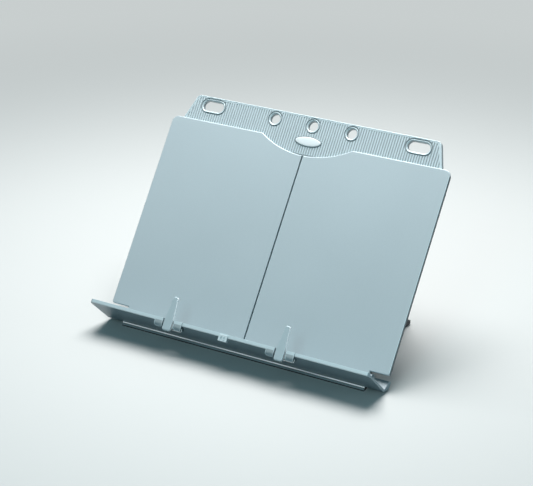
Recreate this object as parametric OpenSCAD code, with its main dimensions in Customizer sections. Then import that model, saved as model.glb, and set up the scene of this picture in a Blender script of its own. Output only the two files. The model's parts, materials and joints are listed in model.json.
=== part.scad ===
// Folding book and document stand.
// A leaning panel of two smooth leaves under a ribbed header, a front ledge that folds up,
// two sprung page clips on the ledge's front edge, and an easel leg that folds flat behind.
// Origin: middle of the front foot's contact with the desk. X to the right, -Y to the reader, Z up.

/* [Panel] */
// Lean of the panel back from the vertical, in degrees
lean = 36; // [32:1:40]
// Width across both leaves
panel_w = 384; // [350:1:420]
// Height of the leaves' top edge above the desk, measured along the panel
panel_top = 273; // [250:1:300]
// Width of each bottom corner notch, where the ledge turns
notch_w = 24.5; // [20:0.5:28]
// Height of the notches' upper edge, measured along the panel
notch_top = 24.6; // [24.6:0.2:30]
// Thickness of a leaf
leaf_t = 2.6; // [2.2:0.1:3.2]
// Thickness of the back panel behind the leaves
plate_t = 2.4; // [2:0.1:3]
// Depth of the ribbed rear shell
shell_t = 3.2; // [2.6:0.1:4]
// Radius of the leaves' upper corners
leaf_corner_r = 8; // [4:0.5:12]
// Bevel round the front of each leaf
leaf_bevel = 0.7; // [0.3:0.1:1]
// Width of the groove between the leaves
seam_w = 1.6; // [1:0.1:3]
// Width of the dip in the leaves' top edge
dip_w = 125; // [90:1:160]
// Depth of the dip
dip_depth = 18; // [12:0.5:20]

/* [Header] */
// Height of the header above the leaves
header_h = 32.2; // [30:0.2:40]
// Width of the header along its top edge
header_top_w = 335; // [325:1:345]
// Width of the header where the leaves begin
header_base_w = 357; // [346:1:365]
// Radius of the header's upper corners
header_corner_r = 6; // [3:0.5:9]
// Spacing of the fine upright ribs
rib_pitch = 3.3; // [2.6:0.1:5]
// Height of the ribs
rib_h = 0.6; // [0.4:0.1:1]
// Plain border between the ribs and the header's edge
header_rim = 2.4; // [1.5:0.1:4]
// Diameter of the round holes
hole_d = 13; // [10:0.5:14]
// Spacing of the round holes
hole_gap = 53; // [45:1:60]
// Distance of all holes below the header's top edge
hole_drop = 11.6; // [10.6:0.1:13]
// Length of the oblong holes
slot_l = 29; // [22:0.5:34]
// Distance of the oblong holes from the middle
slot_x = 142; // [130:1:145]
// Wall of the collar round each hole
collar_t = 1.7; // [1.2:0.1:2.2]
// Width of the sunk ring round each collar
dish_w = 1.8; // [1.2:0.1:2.2]
// Depth of the sunk ring
dish_depth = 1.2; // [0.8:0.1:1.5]
// Length of the oval badge
badge_l = 35; // [28:0.5:40]
// Height of the oval badge
badge_h = 12; // [8:0.5:13]
// How far the badge's crown stands out of the ribs
badge_rise = 1.4; // [0.8:0.1:2]

/* [Ledge] */
// How far the ledge's ends stand in from the panel's sides
ledge_inset = 1; // [0:0.5:3]
// Distance of the ledge's front edge from the leaves
ledge_d = 50; // [40:1:60]
// Thickness of the ledge's sheet
ledge_t = 2.8; // [2.2:0.1:3.4]
// How far the ledge tips up from square to the panel, in degrees
ledge_tip = 8.4; // [6:0.2:10]
// Height of the ledge's underside where it meets the panel's front
ledge_heel = 5.7; // [5.6:0.1:6.4]
// Height of the front lip, from the underside to its top
lip_h = 4.4; // [3.6:0.1:6]
// Thickness of the front lip
lip_t = 2.6; // [2:0.1:3.4]
// Height of the ledge's hinge line, measured along the panel
hinge_s = 16.4; // [16:0.1:17]
// Outer radius of the heel that turns round the hinge line
heel_r = 8.2; // [7.8:0.1:8.4]
// Thickness of the heel's rolled-up flange at its top
flange_t = 4.6; // [3.5:0.1:5]
// Rise of the flange's top above the hinge line
flange_rise = 3; // [2:0.1:4]
// Radius of the ledge's hinge pins
ledge_pin_r = 1.3; // [1.1:0.05:1.4]

/* [Page clips] */
// Distance of each clip from the middle
clip_x = 76.4; // [50:0.2:110]
// Width of a clip at its foot
clip_w = 11; // [10:0.5:14]
// Width of a clip at its tip
clip_tip_w = 5.4; // [4:0.2:8]
// Height of a clip above its hinge line
clip_rise = 34; // [26:0.5:40]
// Drop of a clip's thumb tab below its hinge line
clip_drop = 7.9; // [6.5:0.1:8.5]
// Thickness of a clip's finger
clip_t = 2.8; // [2.2:0.1:3.2]
// Width of the hinge bosses on each side of a clip
boss_w = 10.8; // [8:0.2:14]
// Gap between a clip and its bosses
clip_gap = 2.3; // [1.9:0.1:3]
// Radius of the bosses
boss_r = 4.7; // [4:0.1:5]
// Radius of the bosses' outer lower corners
boss_corner_r = 3; // [1:0.2:4]
// Radius of the clips' hinge pins
clip_pin_r = 1.2; // [1:0.05:1.4]
// Wire diameter of the clips' springs
spring_wire = 0.7; // [0.5:0.05:0.8]
// Depth of the pocket in a boss that takes the spring's turns
spring_pocket = 1.6; // [1.4:0.1:3]

/* [Foot] */
// Height of the front foot, measured along the panel
foot_h = 5.6; // [5.2:0.1:5.6]
// Height of the rubber pad within the foot
pad_h = 4; // [3.4:0.1:4.2]
// Radius of the bead along the foot's top
bead_r = 0.7; // [0.5:0.05:0.7]
// Height of the rubber that shows below the foot's front skirt
pad_show = 1.3; // [1.1:0.1:1.6]
// Thickness of the foot's front skirt
skirt_t = 1; // [0.8:0.1:1.2]

/* [Easel leg] */
// Distance of the rear feet behind the panel's front, along the desk
rear_foot_y = 178; // [165:1:195]
// Height of the leg's hinge line, measured along the panel
leg_hinge_s = 196; // [180:1:215]
// Distance of the leg's hinge line behind the rear shell
leg_hinge_out = 9.5; // [9:0.1:11]
// Width of the leg at its feet
leg_foot_w = 270; // [230:1:290]
// Width of the leg at its hinges
leg_top_w = 226; // [200:1:230]
// Thickness of the leg
leg_t = 8; // [6:0.2:9]
// Width of the leg's arms
arm_w = 24; // [18:0.5:30]
// Height of the leg's cross bar
bar_h = 30; // [22:0.5:36]
// Thickness of the leg's web and ribs
leg_wall = 2.4; // [1.8:0.1:3]
// Radius of the leg's hinge knuckles
knuckle_r = 6.2; // [5.4:0.1:6.4]
// Radius of the leg's hinge pins
leg_pin_r = 2; // [1.6:0.1:2.4]
// Thickness of the hinge brackets' base and ears
bracket_t = 2.8; // [2.2:0.1:3]

/* [Hidden] */
$fn = 48;

silver = [0.70, 0.76, 0.79];
rib_silver = [0.66, 0.73, 0.76];
charcoal = [0.20, 0.23, 0.25];
rubber_black = [0.12, 0.13, 0.14];
steel = [0.75, 0.77, 0.79];
badge_white = [0.90, 0.94, 0.95];

// Overrun of every cut, running clearance of pins, gap between moving pieces, seating gap
cut = 1;
run_fit = 0.06;
move_gap = 0.4;
seat_gap = 0.1;

panel_t = leaf_t + plate_t + shell_t;
header_top = panel_top + header_h;
tongue_w = panel_w - 2 * notch_w;
dip_r = (pow(dip_w / 2, 2) + pow(dip_depth, 2)) / (2 * dip_depth);
header_slope = (header_base_w - header_top_w) / 2 / header_h;
hole_s = header_top - hole_drop;
// Depth behind the leaves' front at which the header's ribs end, and the header's back
rib_floor = leaf_t + rib_h;
header_back = panel_t;
hinge_cover = 0.7;
hinge_y = leaf_t + ledge_pin_r + hinge_cover;
foot_top = foot_h + seat_gap;
// The panel steps in by this much behind the leaves
plate_inset = 1;
shell_inset = 0.8;
shell_top_drop = 6;
shell_wall = 1.4;
shell_rib_t = 2.2;

// Height, along the panel, of the desk at a depth behind the leaves' front
function desk_s(y) = y * tan(lean);
// Depth of the rubber pad at its top, and the middle of its contact with the desk
pad_back = pad_h / tan(lean);
pad_mid = pad_back / cos(lean) / 2;

// Places a piece that is drawn with the leaves' front at y = 0 and z up along the panel
module on_panel() translate([0, -pad_mid, 0]) rotate([-lean, 0, 0]) children();
// Extrudes an outline in the panel's plane from depth y0 backwards
module slab(y0, t) translate([0, y0 + t, 0]) rotate([90, 0, 0]) linear_extrude(t) children();
// Extrudes a side profile, drawn in depth and height, across the stand
module across(x0, w) translate([x0, 0, 0]) rotate([90, 0, 90]) linear_extrude(w) children();
// Cylinder along X at a depth and height
module rod(x0, w, y, s, r) translate([x0, y, s]) rotate([0, 90, 0]) cylinder(h = w, r = r);
// Rounds the convex corners of an outline
module rounded(r) offset(r) offset(delta = -r) children();
module stadium(l, h) {
    for (side = [-1, 1]) translate([side * (l - h) / 2, 0]) circle(d = h);
    square([l - h, h], center = true);
}
module ellipse(l, h) polygon([for (a = [0:360 / $fn:359]) [l / 2 * cos(a), h / 2 * sin(a)]]);

// Panel and header

// Half of a leaf's outline is cut from this whole front, which both leaves share
module front_outline() {
    difference() {
        union() {
            rounded(leaf_corner_r) translate([-panel_w / 2, notch_top])
                square([panel_w, panel_top - notch_top]);
            translate([-panel_w / 2, notch_top]) rounded(leaf_bevel)
                square([panel_w, panel_top / 2]);
            translate([-tongue_w / 2, foot_top]) square([tongue_w, panel_top / 2]);
        }
        translate([0, panel_top - dip_depth + dip_r]) circle(r = dip_r, $fn = 256);
    }
}

module leaf(side) {
    color(silver) on_panel() translate([0, leaf_t, 0]) rotate([90, 0, 0]) minkowski() {
        linear_extrude(leaf_t - leaf_bevel) offset(delta = -leaf_bevel) intersection() {
            front_outline();
            translate([side > 0 ? seam_w / 2 : -panel_w, 0]) square([panel_w - seam_w / 2, panel_top + cut]);
        }
        cylinder(h = leaf_bevel, r1 = leaf_bevel, r2 = 0, $fn = 16);
    }
}

module header_outline(inset = 0) {
    rounded(header_corner_r) polygon([
        for (side = [-1, 1]) let (half = header_top_w / 2 - inset)
            [side * half, header_top - inset],
        for (side = [1, -1]) let (drop = header_h + leaf_corner_r * 2)
            [side * (header_top_w / 2 + header_slope * drop - inset), header_top - drop]
    ]);
}

module plate_outline() {
    header_outline();
    rounded(leaf_corner_r - plate_inset) translate([-panel_w / 2 + plate_inset, panel_top / 2])
        square([panel_w - 2 * plate_inset, panel_top / 2 - plate_inset]);
    translate([-panel_w / 2 + plate_inset, notch_top + plate_inset])
        square([panel_w - 2 * plate_inset, panel_top / 2]);
    translate([-tongue_w / 2 + plate_inset, foot_top + ledge_heel])
        square([tongue_w - 2 * plate_inset, panel_top / 2]);
}

// Places children at the three round holes
module at_round_holes() for (i = [-1:1]) translate([i * hole_gap, hole_s]) children();
module at_oblong_holes() for (side = [-1, 1]) translate([side * slot_x, hole_s]) children();

module hole_shapes(grow) {
    at_round_holes() circle(d = hole_d + 2 * grow);
    at_oblong_holes() stadium(slot_l + 2 * grow, hole_d + 2 * grow);
}

// Upright ribs, as one comb-shaped profile that runs up the header
rib_foot_share = 0.42;
rib_crest_share = 0.22;
module rib_comb() {
    half_count = floor((header_base_w / 2 - header_rim) / rib_pitch);
    foot = rib_pitch * rib_foot_share;
    crest = rib_pitch * rib_crest_share;
    for (i = [-half_count:half_count]) translate([i * rib_pitch, 0]) polygon([
        [-foot, rib_floor + cut], [-foot, rib_floor], [-crest, leaf_t],
        [crest, leaf_t], [foot, rib_floor], [foot, rib_floor + cut]
    ]);
}

module back_panel() {
    ribs_low = panel_top - dip_depth - header_rim;
    color(rib_silver) on_panel() difference() {
        union() {
            slab(leaf_t + rib_h, plate_t - rib_h) plate_outline();
            slab(rib_floor, header_back - rib_floor) intersection() {
                header_outline();
                translate([-panel_w / 2, panel_top - shell_top_drop]) square([panel_w, panel_w]);
            }
            // Plain skin behind the leaves, up to where the ribs begin
            slab(leaf_t, plate_t) intersection() {
                plate_outline();
                translate([-panel_w / 2, 0]) square([panel_w, ribs_low]);
            }
            slab(leaf_t, plate_t) difference() {
                header_outline();
                header_outline(header_rim);
                translate([-panel_w, 0]) square([2 * panel_w, panel_top]);
            }
            intersection() {
                translate([0, 0, ribs_low - cut]) linear_extrude(header_top - ribs_low) rib_comb();
                slab(0, panel_t) difference() {
                    header_outline(header_rim / 2);
                    hole_shapes(collar_t + dish_w);
                    badge_place() ellipse(badge_l + 2 * seat_gap, badge_h + 2 * seat_gap);
                }
            }
            slab(leaf_t, header_back - leaf_t) hole_shapes(collar_t);
        }
        slab(leaf_t - cut, dish_depth + cut) difference() {
            hole_shapes(collar_t + dish_w);
            hole_shapes(collar_t);
        }
        slab(-cut, panel_t + 2 * cut) hole_shapes(0);
        slab(leaf_t - cut, plate_t + 2 * cut) ledge_pin_blocks(seat_gap);
        shell_screw_places() translate([0, panel_t, 0]) rotate([90, 0, 0])
            cylinder(h = shell_t + screw_bite + seat_gap, r = screw_r + seat_gap);
    }
}

// Badge: a bare oval cap on the header
badge_lift = 0.5;
badge_s = panel_top + badge_lift;
module badge_place() translate([0, badge_s]) children();

crown_share = 0.72;
module badge() {
    color(badge_white) on_panel() translate([0, rib_floor, badge_s]) rotate([90, 0, 0]) hull() {
        linear_extrude(rib_h) ellipse(badge_l, badge_h);
        linear_extrude(rib_h + badge_rise * crown_share)
            ellipse(badge_l - badge_rise, badge_h - badge_rise);
        linear_extrude(rib_h + badge_rise) ellipse(badge_l * crown_share, badge_h * crown_share / 2);
    }
}

// Rear shell with its waffle of ribs

// Screws that hold the shell to the back panel
screw_r = 1.25;
screw_head_r = 2.8;
screw_head_h = 1.4;
screw_bite = 1.4;
screw_x_shares = [-0.42, 0, 0.42];
screw_s_shares = [0.16, 0.9];
module shell_screw_places() {
    for (x = screw_x_shares * panel_w, s = screw_s_shares * panel_top) translate([x, 0, s]) children();
}

// Blocks in the tongue's ends that hold the ledge's pins
pin_block_l = 16;
pin_block_h = 8.4;
module ledge_pin_blocks(grow = 0) {
    for (side = [-1, 1]) translate([side * (tongue_w / 2 - plate_inset - pin_block_l / 2), hinge_s])
        square([pin_block_l, pin_block_h] + [2, 2] * grow, center = true);
}

module shell_outline(inset) {
    low = notch_top + plate_inset + shell_inset + inset;
    translate([-panel_w / 2 + plate_inset + shell_inset + inset, low]) square([
        panel_w - 2 * (plate_inset + shell_inset + inset),
        panel_top - shell_top_drop - seat_gap - inset - low
    ]);
    translate([-tongue_w / 2 + plate_inset + inset, foot_top + inset])
        square([tongue_w - 2 * (plate_inset + inset), panel_top / 2]);
}

module rear_shell() {
    y0 = leaf_t + plate_t;
    wall = shell_rib_t;
    pad_r = screw_head_r + wall;
    color(charcoal) on_panel() difference() {
        union() {
            slab(y0, shell_wall) shell_outline(0);
            slab(y0, shell_t) difference() {
                shell_outline(0);
                shell_outline(wall);
            }
            slab(y0, shell_t) intersection() {
                shell_outline(0);
                union() {
                    for (k = [-3:3]) translate([k * panel_w / 8 - wall / 2, 0]) square([wall, panel_top]);
                    for (k = [1:4]) translate([-panel_w / 2, k * panel_top / 5 - wall / 2])
                        square([panel_w, wall]);
                }
            }
            shell_screw_places() translate([0, y0 + shell_t, 0]) rotate([90, 0, 0])
                cylinder(h = shell_t, r = pad_r);
            slab(y0, shell_t) bracket_base(wall);
            slab(leaf_t + seat_gap, panel_t - leaf_t - seat_gap) ledge_pin_blocks();
        }
        shell_screw_places() translate([0, y0 + shell_t + cut, 0]) rotate([90, 0, 0])
            cylinder(h = shell_t + 2 * cut, r = screw_r + run_fit);
        bracket_screw_places() translate([0, y0 + shell_t + cut, 0]) rotate([90, 0, 0])
            cylinder(h = shell_t + cut, r = screw_r + run_fit);
        for (side = [-1, 1]) rod(side * (tongue_w / 2 - pin_grip / 2 + cut) - pin_grip / 2 - cut,
            pin_grip + 2 * cut, hinge_y, hinge_s, ledge_pin_r);
    }
}

module shell_screws() color(steel) on_panel() shell_screw_places() translate([0, panel_t, 0]) {
    rotate([90, 0, 0]) cylinder(h = shell_t + screw_bite, r = screw_r);
    difference() {
        rotate([-90, 0, 0]) cylinder(h = screw_head_h, r = screw_head_r);
        for (turn = [0, 90]) rotate([0, turn, 0]) translate([0, screw_head_h, 0])
            cube([screw_head_r, screw_head_h, screw_r / 2], center = true);
    }
}

// Front foot: a silver rail with a bead on top and a rubber pad that stands on the desk

groove_share = 0.5;
module foot_rail() {
    fin_t = plate_t - 2 * seat_gap;
    low = pad_h + seat_gap;
    lift = 3 * seat_gap;
    fin_y = leaf_t + seat_gap;
    groove_top = foot_h - 2 * bead_r - 2 * seat_gap;
    groove_d = skirt_t * groove_share;
    color(silver) on_panel() union() {
        across(-tongue_w / 2, tongue_w) polygon([
            [0, pad_show], [0, groove_top - groove_d], [groove_d, groove_top - groove_d],
            [groove_d, groove_top], [0, groove_top], [0, foot_h], [fin_y, foot_h],
            [fin_y, foot_top + ledge_heel - seat_gap],
            [fin_y + fin_t, foot_top + ledge_heel - seat_gap], [fin_y + fin_t, foot_h],
            [(foot_h - lift) / tan(lean), foot_h], [(low - lift) / tan(lean), low],
            [skirt_t, low], [skirt_t, pad_show]
        ]);
        rod(-tongue_w / 2, tongue_w, 0, foot_h - bead_r - seat_gap, bead_r);
    }
}

module foot_pad() {
    behind = skirt_t + seat_gap;
    under = pad_show - seat_gap;
    color(rubber_black) on_panel() across(-tongue_w / 2, tongue_w)
        polygon([[0, 0], [0, under], [behind, under], [behind, pad_h], [pad_back, pad_h]]);
}

// Ledge

ledge_w = panel_w - 2 * ledge_inset;
pin_grip = 14;
ear_t = 3.6;
ear_r = 6.2;
function ledge_under(y) = ledge_heel - y * tan(ledge_tip);
function ledge_top(y) = ledge_under(y) + ledge_t / cos(ledge_tip);
lip_top = ledge_under(-ledge_d) + lip_h;

// Points of the floor and lip, whose front face is cut back to the plan's outline
floor_front = [
    [-ledge_d - cut, ledge_under(-ledge_d - cut)], [-ledge_d - cut, lip_top], [-ledge_d + lip_t, lip_top],
    [-ledge_d + lip_t, ledge_top(-ledge_d + lip_t)], [-move_gap, ledge_top(-move_gap)]
];
floor_end = [-move_gap, ledge_under(-move_gap)];
module ledge_floor() polygon(concat(floor_front, [floor_end]));

// At the ledge's ends the floor goes on past the tongue and rolls up behind the hinge line
heel_end_angle = 78;
heel_steps = 12;
heel_start = asin(flange_rise / heel_r);
heel_front = hinge_y - ledge_t - cut;
heel_arc = [
    for (k = [0:heel_steps]) let (a = heel_start - k / heel_steps * (heel_start + heel_end_angle))
        [hinge_y + heel_r * cos(a), hinge_s + heel_r * sin(a)]
];
module ledge_end() polygon(concat(
    floor_front,
    [[heel_front, ledge_top(heel_front)], [heel_arc[0].x - flange_t, heel_arc[0].y]],
    heel_arc,
    [[heel_front, ledge_under(heel_front)], floor_end]
));

// Clip hinge line, in depth and height
clip_y = -ledge_d + boss_r - clip_t / 3;
boss_drop = 1.6;
clip_s = lip_top - boss_r - boss_drop;
clip_front = boss_r + clip_t / 6;
clip_notch_back = clip_y + norm([clip_front, clip_drop]) + move_gap;

// Front view of one boss, whose outer lower corner is round; x0 is its left side
module boss_front_view(x0, turn) {
    spare = 2 * boss_corner_r;
    low = clip_s - boss_r - seat_gap;
    rounded(boss_corner_r) translate([turn > 0 ? x0 - spare : x0, low])
        square([boss_w + spare, lip_top - low + spare]);
}

module clip_bosses(side) {
    inner = clip_w / 2 + clip_gap;
    for (turn = [-1, 1]) let (x0 = side * clip_x + (turn > 0 ? inner : -inner - boss_w)) intersection() {
        across(turn > 0 ? x0 : x0 - cut, boss_w + cut) {
            translate([clip_y, clip_s]) circle(r = boss_r);
            translate([clip_y - boss_r, clip_s]) square([2 * boss_r, lip_top - clip_s - ledge_t / 2]);
            translate([clip_y - boss_r, clip_s]) square([lip_t + clip_t / 3, lip_top - clip_s]);
        }
        slab(clip_y - boss_r - cut, 2 * (boss_r + cut)) boss_front_view(x0, turn);
    }
}

// The ledge seen from above, with its two front corners rounded
corner_r = 5;
module ledge_plan() rounded(corner_r) translate([-ledge_w / 2, -ledge_d])
    square([ledge_w, 2 * ledge_d]);

module ledge() {
    half = ledge_w / 2;
    ear_x = tongue_w / 2 + move_gap;
    color(silver) on_panel() difference() {
        union() {
            difference() {
                intersection() {
                    union() {
                        across(-ear_x, 2 * ear_x) ledge_floor();
                        for (side = [-1, 1]) across(side > 0 ? ear_x : -half - cut, half + cut - ear_x)
                            ledge_end();
                    }
                    linear_extrude(panel_top) ledge_plan();
                }
                for (side = [-1, 1]) translate([side * clip_x - clip_w / 2 - clip_gap, -ledge_d - cut, 0])
                    cube([clip_w + 2 * clip_gap, clip_notch_back + ledge_d + cut, lip_top + 2 * cut]);
            }
            for (side = [-1, 1]) {
                rod(side > 0 ? ear_x : -ear_x - ear_t, ear_t, hinge_y, hinge_s, ear_r);
                clip_bosses(side);
            }
        }
        for (side = [-1, 1]) {
            rod(side * (ear_x + ear_t / 2) - ear_t, 2 * ear_t, hinge_y, hinge_s, ledge_pin_r + run_fit);
            rod(side * (ear_x + ear_t + cut) - cut, 2 * cut, hinge_y, hinge_s, 2 * ledge_pin_r + move_gap);
        }
        for (side = [-1, 1]) {
            rod(side * clip_x - clip_pin_l / 2 - seat_gap, clip_pin_l + 2 * seat_gap,
                clip_y, clip_s, clip_pin_r + run_fit);
            rod(side * clip_x + clip_w / 2, clip_gap + spring_pocket,
                clip_y, clip_s, spring_r + spring_wire);
        }
    }
}

tab_w = 11.5;
tab_h = 8;
tab_t = 2.6;
tab_grooves = 2;
module edge_tab() {
    w = tab_w;
    h = tab_h;
    t = tab_t;
    groove_w = w / 8;
    low = lip_top - h - lip_t / 2;
    color(silver) on_panel() translate([-w / 2, -ledge_d - t / 2, low]) difference() {
        union() {
            cube([w, t / 2 - seat_gap, h]);
            cube([w, t + lip_t, ledge_under(-ledge_d + t / 2 + lip_t) - seat_gap - low]);
        }
        for (k = [1:tab_grooves]) translate([k * w / (tab_grooves + 1) - groove_w / 2, -cut, -cut])
            cube([groove_w, cut + t / 3, h - t + cut]);
    }
}

module ledge_pin(side) color(steel) on_panel() {
    ear_x = tongue_w / 2 + move_gap + ear_t + seat_gap;
    inner = tongue_w / 2 - pin_grip;
    rod(side > 0 ? inner : -ear_x - cut, ear_x + cut - inner, hinge_y, hinge_s, ledge_pin_r);
    rod(side > 0 ? ear_x : -ear_x - cut, cut, hinge_y, hinge_s, 2 * ledge_pin_r);
}

// Page clips

pin_hold_share = 0.75;
clip_pin_l = clip_w + 2 * (clip_gap + pin_hold_share * boss_w);
clip_foot_r = 3;

clip_neck = 8.5;
barrel_gap = 0.5;

// Side profile of a clip, with its hinge line at the origin
module clip_profile() {
    barrel_r = boss_r - barrel_gap;
    front = -clip_front;
    hook = clip_t / 2;
    circle(r = barrel_r);
    translate([front, 0]) square([clip_front, barrel_r]);
    translate([front, -clip_drop + clip_t / 2]) square([clip_t, clip_rise + clip_drop - clip_t]);
    translate([front + clip_t / 2, -clip_drop + clip_t / 2]) circle(d = clip_t);
    translate([front + clip_t / 2, clip_rise - clip_t / 2]) circle(d = clip_t);
    translate([front + clip_t / 2, clip_rise - clip_t]) square([hook + clip_t / 2, clip_t]);
}

// Front view of a clip: square at its foot, tapered to a round tip
module clip_front_view() {
    tip_r = clip_tip_w / 2;
    rounded(clip_foot_r) translate([-clip_w / 2, -clip_drop]) square([clip_w, clip_drop + clip_neck]);
    hull() {
        translate([-clip_w / 2, boss_r / 2]) square([clip_w, boss_r / 2]);
        translate([0, clip_rise - tip_r]) circle(r = tip_r, $fn = 32);
    }
}

module clip(side) color(silver) on_panel() translate([side * clip_x, clip_y, clip_s]) difference() {
    intersection() {
        across(-clip_w / 2, clip_w) clip_profile();
        slab(-ledge_d, 2 * ledge_d) clip_front_view();
    }
    rod(-clip_w, 2 * clip_w, 0, 0, clip_pin_r + run_fit);
}

module clip_pin(side) color(steel) on_panel()
    rod(side * clip_x - clip_pin_l / 2, clip_pin_l, clip_y, clip_s, clip_pin_r);

// Torsion spring round the pin: it starts in a pocket in the boss, crosses the gap and
// ends in one leg that bears on the underside of the boss and hooks round its outer end
spring_sides = 6;
spring_turns = 2.25;
turn_steps = 12;
spring_r = clip_pin_r + run_fit + spring_wire / 2 + seat_gap;
spring_inner_x = clip_w / 2 + move_gap + spring_wire / 2;
spring_travel = clip_gap + spring_pocket - spring_wire - move_gap - seat_gap;
spring_foot = boss_r + spring_wire / 2 + seat_gap;
hook_x = clip_w / 2 + clip_gap + boss_w + spring_wire / 2 + seat_gap;
hook_rise = 4;
spring_coil = [
    for (i = [0:spring_turns * turn_steps]) let (share = i / (spring_turns * turn_steps))
        [spring_inner_x + spring_travel * (1 - share),
            spring_r * cos(180 - 360 * spring_turns * (1 - share)),
            spring_r * sin(180 - 360 * spring_turns * (1 - share))]
];
spring_leg = [
    [spring_inner_x, -spring_r, -spring_foot + spring_wire],
    [spring_inner_x + spring_wire / 4, -spring_r, -spring_foot + spring_wire / 4],
    [spring_inner_x + spring_wire, -spring_r, -spring_foot],
    [hook_x - 2 * spring_wire, -spring_r, -spring_foot],
    [hook_x - spring_wire / 2, -spring_r, -spring_foot + spring_wire / 2],
    [hook_x, -spring_r, -spring_foot + 2 * spring_wire],
    [hook_x, -spring_r, -spring_foot + hook_rise]
];
spring_gap = min([for (i = [0:len(spring_coil) - 1], j = [0:len(spring_coil) - 1])
    if (j - i > turn_steps / 2) norm(spring_coil[i] - spring_coil[j])]) - spring_wire;
echo(least_gap_between_spring_turns = spring_gap);

function unit(v) = v / norm(v);
function turned(n, t) = unit(n - (n * t) * t);

// A tube of flat sides along a list of points
module tube(path, r, sides) {
    last = len(path) - 1;
    ahead = [for (i = [0:last]) unit(path[min(i + 1, last)] - path[max(i - 1, 0)])];
    out = [for (i = 0, n = turned([1, 0, 0], ahead[0]); i <= last;
        n = i < last ? turned(n, ahead[i + 1]) : n, i = i + 1) n];
    points = [for (i = [0:last], k = [0:sides - 1])
        path[i] + r * (cos(k * 360 / sides) * out[i] + sin(k * 360 / sides) * cross(ahead[i], out[i]))];
    walls = [for (i = [0:last - 1], k = [0:sides - 1]) let (
        a = i * sides + k,
        b = i * sides + (k + 1) % sides
    ) each [[a, b, a + sides], [b, b + sides, a + sides]]];
    ends = [[for (k = [sides - 1:-1:0]) k], [for (k = [0:sides - 1]) last * sides + k]];
    polyhedron(points, concat(walls, ends));
}

module clip_spring(side) color(steel) on_panel() translate([side * clip_x, clip_y, clip_s])
    tube(concat(spring_coil, spring_leg), spring_wire / 2, spring_sides);

// Easel leg, drawn folded down along the panel from its hinge line and then swung out

leg_y = panel_t + leg_hinge_out;
foot_depth = rear_foot_y * cos(lean) - leg_y;
foot_drop = leg_hinge_s - rear_foot_y * sin(lean);
leg_l = norm([foot_depth, foot_drop]);
leg_open = atan2(foot_depth, foot_drop);
knuckle_w = 18;
rear_pad_h = 6;
rear_pad_l = 30;
rear_pad_d = 12;
knuckle_x = leg_top_w / 2 - arm_w / 2;
bracket_h = 34;
arm_start = bracket_h / 2 + cut;

module on_leg() on_panel() translate([0, leg_y, leg_hinge_s]) rotate([leg_open, 0, 0]) children();
// Upright frame at the leg's foot line on the desk
module on_rear_foot() translate([0, rear_foot_y - pad_mid, 0]) children();

// Leg outline, inset from its edge, between two heights below the hinge line
module leg_outline(inset, top, low) {
    grow = (leg_foot_w - leg_top_w) / 2 / leg_l;
    polygon([
        for (side = [-1, 1]) [side * (leg_top_w / 2 + grow * top - inset), -top],
        for (side = [1, -1]) [side * (leg_top_w / 2 + grow * low - inset), -low]
    ]);
}

module leg_frame_outline(inset = 0) {
    difference() {
        leg_outline(inset, arm_start, leg_l + leg_t);
        rounded(arm_w / 3) leg_outline(arm_w - inset, -arm_w, leg_l - bar_h + inset);
    }
}

module knuckle_profile() {
    circle(r = knuckle_r);
    translate([-leg_t / 2, -arm_start - leg_wall]) square([leg_t, arm_start + leg_wall]);
    // Heel that meets the bracket and stops the leg when it is fully out
    rotate(-leg_open) intersection() {
        rotate(leg_open) translate([-leg_t / 2, 0]) square([leg_t, knuckle_r * 2]);
        translate([-knuckle_r, -knuckle_r * 2]) square([knuckle_r * 4, knuckle_r * 4]);
    }
}

module rear_leg() {
    color(charcoal) difference() {
        on_leg() difference() {
            union() {
                slab(leg_t / 2 - leg_wall, leg_wall) leg_frame_outline();
                slab(-leg_t / 2, leg_t) difference() {
                    leg_frame_outline();
                    leg_frame_outline(leg_wall);
                }
                slab(-leg_t / 2, leg_t) intersection() {
                    leg_frame_outline();
                    union() {
                        for (k = [-3:3]) translate([k * leg_foot_w / 8 - leg_wall / 2, -leg_l - leg_t])
                            square([leg_wall, bar_h + leg_t + cut]);
                        for (k = [1:3]) translate([-leg_foot_w / 2, -k * (leg_l - bar_h) / 4])
                            square([leg_foot_w, leg_wall]);
                    }
                }
                for (side = [-1, 1]) across(side * knuckle_x - knuckle_w / 2, knuckle_w)
                    knuckle_profile();
            }
            rod(-leg_foot_w, 2 * leg_foot_w, 0, 0, leg_pin_r + run_fit);
        }
        on_rear_foot() translate([-leg_foot_w, -leg_l, -leg_l])
            cube([2 * leg_foot_w, 2 * leg_l, leg_l + rear_pad_h]);
    }
}

module rear_foot(side) {
    x = leg_foot_w / 2 - rear_pad_l / 2;
    color(rubber_black) on_rear_foot() translate([side * x, 0, 0]) intersection() {
        translate([-rear_pad_l / 2, -rear_pad_d / 2, 0])
            cube([rear_pad_l, rear_pad_d, rear_pad_h - seat_gap]);
        slab(-leg_t, 2 * leg_t) rounded(rear_pad_h / 3) translate([-rear_pad_l / 2, 0])
            square([rear_pad_l, rear_pad_h * 2]);
    }
}

// Hinge brackets on the rear shell

bracket_lug = 9;
bracket_w = knuckle_w + 2 * (bracket_t + move_gap + bracket_lug);
module bracket_base(grow = 0) {
    for (side = [-1, 1]) translate([side * knuckle_x, leg_hinge_s])
        square([bracket_w + 2 * grow, bracket_h + 2 * grow], center = true);
}
module bracket_screw_places() {
    for (side = [-1, 1], turn = [-1, 1])
        translate([side * knuckle_x + turn * (bracket_w - bracket_lug) / 2, 0, leg_hinge_s]) children();
}

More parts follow.
